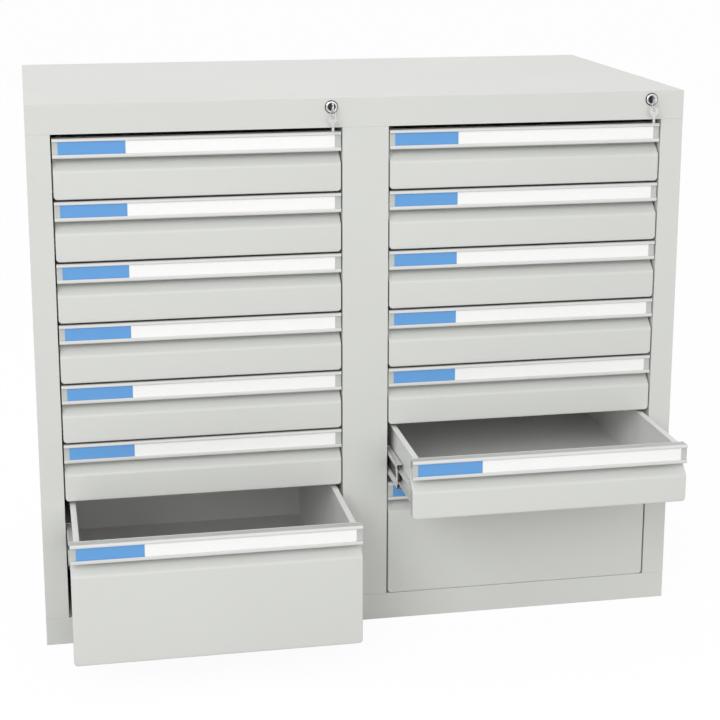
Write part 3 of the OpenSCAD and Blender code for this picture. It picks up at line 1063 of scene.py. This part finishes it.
@dataclass
class CamLock:
    """A cam lock with its keys: flange and housing, plug, key, ring and spare key."""

    side: str
    flange: float = 10.75 * MM
    flange_depth: float = 2.5 * MM
    housing: float = 8 * MM
    housing_length: float = 24 * MM
    threads: int = 16
    thread_depth: float = 0.45 * MM
    bore: float = 5.6 * MM
    nut: float = 11.5 * MM
    nut_depth: float = 4 * MM
    nut_start: float = 1.6 * MM
    bow: float = 7.5 * MM
    bow_shift: float = 3 * MM
    eye: float = 3 * MM
    key_length: float = 22.5 * MM
    blade: float = 5 * MM
    key_thickness: float = 1.8 * MM
    key_edge: float = 0.25 * MM
    bow_steps: int = 32
    cuts: tuple[float, ...] = (0.9, 1.6, 0.7, 1.3)
    wire: float = 0.6 * MM
    coil: float = 0.312 * MM
    coils: float = 1.88
    coil_start: float = math.radians(100)
    ring_steps: int = 96
    ring_turn: float = math.radians(33)
    spare_turn: float = math.radians(-30)

    def __post_init__(self) -> None:
        """Finds the lock's axis and the keys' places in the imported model."""
        top_low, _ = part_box("top_cover")
        ring_low, ring_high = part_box(f"key_ring_{self.side}")
        key_low, key_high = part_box(f"key_{self.side}")
        spare_low, spare_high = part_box(f"spare_key_{self.side}")
        middle = (key_low + key_high) / 2
        self.front = top_low.y
        self.axis = (middle.x, middle.z)
        self.key_place = Vector((middle.x, key_high.y - self.key_length, middle.z))
        self.ring_place = (ring_low + ring_high) / 2
        self.ring_radius = (ring_high.z - ring_low.z) / 2 - self.wire
        spare = (spare_low + spare_high) / 2
        self.spare_place = Vector((spare.x, spare.y, spare_high.z - self.bow + self.bow_shift))

    def build_housing(self, bm: Shape) -> None:
        """Builds the flange with its rounded rim, dished face and threaded housing.

        Args:
            bm: The shape to add to.
        """
        y, r = self.front, self.flange
        face = y - self.flange_depth
        inner = [(0, 1.4), (0.2, 0.9), (0.7, 0.5), (1.2, 0.15), (1.8, 0)]
        outer = [(2.9, 0), (2.1, 0.2), (1.4, 0.55), (0.6, 1.15), (0.1, 1.9)]
        profile = [(self.bore, y + self.housing_length)]
        profile += [(self.bore + step * MM, face + depth * MM) for step, depth in inner]
        profile += [(r - step * MM, face + depth * MM) for step, depth in outer]
        profile += [(r, y - 0.2 * MM), (r - 0.2 * MM, y - 0.02 * MM), (self.housing, y - 0.02 * MM)]
        pitch = (self.housing_length - 2 * MM) / self.threads
        for turn in range(self.threads):
            start = y + self.nut_start + turn * pitch
            profile += [(self.housing, start), (self.housing - self.thread_depth, start + pitch / 2)]
        profile += [(self.housing - 0.3 * MM, y + self.housing_length), (self.bore, y + self.housing_length)]
        add_lathe(bm, profile, self.axis)
        # The dish round the bore and the flange's outer rim get the painted dark reflection and shade.
        near, far = self.bore + 0.8 * MM, r - 1.2 * MM
        mark(bm, lambda spot: spot.y < y and not near < math.dist((spot.x, spot.z), self.axis) < far)

    def build_nut(self, bm: Shape) -> None:
        """Builds the hexagon nut behind the front sheet.

        Args:
            bm: The shape to add to.
        """
        start = self.front + self.nut_start
        corners = [(x, z, MM) for x, z in circle(self.nut, 6, self.axis)]
        add_prism(bm, rounded(corners), start, start + self.nut_depth, Axis.Y)

    def key_outline(self) -> list[Flat]:
        """Draws a key from its bow round its collar, cuts and tip.

        Returns:
            The outline in X and Z, with the blade towards -Z.
        """
        half = self.blade / 2
        start = math.asin((half + 0.2 * MM) / self.bow)
        turns = spaced(start - QUARTER, 3 * QUARTER - start, self.bow_steps)
        bow = [(self.bow * math.cos(a), self.bow * math.sin(a) - self.bow_shift) for a in turns]
        collar, tip = -self.bow_shift - self.bow - 1.5 * MM, -self.key_length
        pitch = (collar - tip - 2 * MM) / len(self.cuts)
        cuts = [(-half, collar), (CUT - half, collar - CUT)]
        for index, depth in enumerate(self.cuts):
            z = collar - 2 * CUT - index * pitch
            cuts += [(CUT - half, z), (depth * MM - half, z - pitch * 0.45)]
        return bow + cuts + [
            (2 * CUT - half, tip + 1.4 * MM), (-FOLD, tip), (2 * CUT, tip), (half - CUT, tip + 1.6 * MM),
            (half - CUT, collar - CUT), (half, collar),
        ]

    def build_key(self) -> bpy.types.Mesh:
        """Builds the key in the X-Z plane that all locks share, with its eye and rounded edges.

        Returns:
            The mesh.
        """
        edge = self.key_edge
        curve = bpy.data.curves.new("key_outline", "CURVE")
        set_values(curve, dimensions="2D", fill_mode="BOTH", extrude=self.key_thickness / 2 - edge,
                   bevel_depth=edge, bevel_resolution=1, offset=-edge)
        for loop in (self.key_outline(), circle(self.eye, 24)):
            spline = curve.splines.new("POLY")
            spline.points.add(len(loop) - 1)
            spline.use_cyclic_u = True
            for point, (x, z) in zip(spline.points, loop):
                point.co = (x, z, 0, 1)
        carrier = linked("key_carrier", curve)
        bpy.context.view_layer.update()
        mesh = bpy.data.meshes.new_from_object(carrier.evaluated_get(bpy.context.evaluated_depsgraph_get()))
        bpy.data.objects.remove(carrier)
        mesh.name = "key_blank"
        mesh.transform(Matrix.Rotation(QUARTER, 4, "X"))
        mesh.shade_smooth()
        mesh.set_sharp_from_angle(angle=CREASE)
        return mesh

    def build_ring(self, bm: Shape) -> None:
        """Builds the split ring that all locks share: two coils of wire, side by side, in the X-Z plane.

        Args:
            bm: The shape to add to.
        """
        path = []
        for share in spaced(0, 1, self.ring_steps):
            angle = self.coil_start + math.tau * self.coils * share
            side = (2 * share - 1) * self.coil
            x, z = self.ring_radius * math.cos(angle), self.ring_radius * math.sin(angle)
            path.append(Vector((x, side, z)))
        add_tube(bm, path, self.coil)

    def dress(self) -> None:
        """Builds the lock's pieces and seats them on its bodies."""
        side, lock = self.side, f"lock_{self.side}"
        # The plug gets the painted dark reflection.
        dress_node(f"lock_plug_{side}", LOCK_PAINTED_DARK, 0.25 * MM)
        dress_node(f"lock_bar_{side}", BAR_ZINC, CUT)
        for part, build, finish, extra in (
            ("lock_housing", self.build_housing, LOCK_CHROME, {"second": LOCK_PAINTED_DARK}),
            ("lock_nut", self.build_nut, BAR_ZINC, {"bend": CUT}),
        ):
            name = f"{part}_{side}"
            Piece(name, mesh_of(name, build), "cabinet", finish, replaces="lock_bodies", **extra).make()
        in_lock = Matrix.Rotation(QUARTER, 4, "X") @ Matrix.Rotation(QUARTER, 4, "Z")
        ring, spare = (Matrix.Rotation(turn, 4, "Z") for turn in (self.ring_turn, self.spare_turn))
        key = bpy.data.meshes.get("key_blank") or self.build_key()
        coils = mesh_of("split_ring", self.build_ring)
        for name, mesh, body, finish, place, turn, node in (
            ("door_key", key, lock, KEY_METAL, self.key_place, in_lock, "key"),
            ("wire_ring", coils, f"ring_{side}", RING_METAL, self.ring_place, ring, "key_ring"),
            ("second_key", key, f"spare_{side}", KEY_METAL, self.spare_place, spare, "spare_key"),
        ):
            Piece(f"{name}_{side}", mesh, body, finish, place, turn, replaces=f"{node}_{side}").make()


@dataclass(frozen=True)
class Lamp:
    """A soft rectangular lamp aimed at a point."""

    name: str
    place: Colour
    aim: Colour
    size: float
    watts: float

    def make(self) -> None:
        """Hangs the lamp."""
        light = bpy.data.lights.new(self.name, "AREA")
        set_values(light, shape="SQUARE", size=self.size, energy=self.watts)
        holder = linked(self.name, light)
        holder.location = self.place
        towards = Vector(self.aim) - Vector(self.place)
        holder.rotation_euler = towards.to_track_quat("-Z", "Y").to_euler()


@dataclass
class Studio:
    """The camera, lamps, world and pale floor round the cabinet."""

    eye: Colour = (-0.538, -2.9991, 1.2404)
    yaw: float = 0.1935
    pitch: float = 0.2332
    roll: float = -0.0015
    lens: float = 86.17
    shift: float = -0.1
    ambient: float = 0.68
    floor_share: float = 0.9
    floor_light: float = 1.05
    floor_tone: tuple[float, ...] = (0.6, 0.6, 0.6, 1)
    floor_size: float = 160.0
    lamps: tuple[Lamp, ...] = (
        Lamp("key_lamp", (-3.48, -5.27, 4.0), (0, -0.3, 0.5), 3.4, 146),
        Lamp("fill_lamp", (0.6, -5.0, 1.9), (0, -0.3, 0.5), 3.2, 38),
        Lamp("top_lamp", (0.0, 0.35, 3.2), (0, 0.1, 0.9), 1.6, 10),
    )

    def place_camera(self) -> None:
        """Makes the scene's camera at the photograph's viewing angle."""
        camera = bpy.data.cameras.new("camera")
        set_values(camera, lens=self.lens, sensor_width=36, shift_y=self.shift)
        holder = linked("camera", camera)
        turns = ((-self.yaw, "Z"), (QUARTER - self.pitch, "X"), (-self.roll, "Z"))
        swing, tilt, lean = (Matrix.Rotation(angle, 4, axis) for angle, axis in turns)
        holder.matrix_world = Matrix.Translation(self.eye) @ swing @ tilt @ lean
        bpy.context.scene.camera = holder

    def light_world(self) -> None:
        """Sets an even ambient light, white where the camera, metal or glass sees it."""
        world = bpy.data.worlds.new("studio")
        bpy.context.scene.world = world
        graph = Graph(world, "World")
        dim = graph.node("Background", {}, {"Color": WHITE, "Strength": self.ambient})
        white = graph.node("Background", {}, {"Color": WHITE, "Strength": 1.0})
        graph.close(graph.node("MixShader", {}, {0: graph.seen(), 1: dim, 2: white}))

    def lay_floor(self) -> None:
        """Lays a plain pale floor that shows white and keeps the cabinet's shadow."""
        plane = partial(bmesh.ops.create_grid, x_segments=1, y_segments=1, size=self.floor_size / 2)
        mesh = mesh_of("floor", plane)
        floor = linked("floor", mesh)
        graph = Graph(bpy.data.materials.new("pale_floor"), "Material")
        matt = graph.node("BsdfDiffuse", {}, {"Color": self.floor_tone})
        glow = graph.node("Emission", {}, {"Strength": self.floor_light})
        share = graph.seen() * self.floor_share
        mesh.materials.append(graph.close(graph.node("MixShader", {}, {0: share, 1: matt, 2: glow})))

    def set_up(self) -> None:
        """Lights the world, lays the floor and hangs the lamps."""
        bpy.context.scene.view_settings.view_transform = "Standard"
        self.light_world()
        self.lay_floor()
        for lamp in self.lamps:
            lamp.make()


def main() -> None:
    """Builds the studio and the cabinet, in order."""
    logging.basicConfig(level=logging.INFO, format="%(message)s")
    studio = Studio()
    studio.place_camera()
    Carcass().dress()
    for column in ("L", "R"):
        for number in range(1, 8):
            Drawer(f"{column}{number}").dress()
    for side in ("left", "right"):
        CamLock(side).dress()
    studio.set_up()


if __name__ == "__main__":
    main()
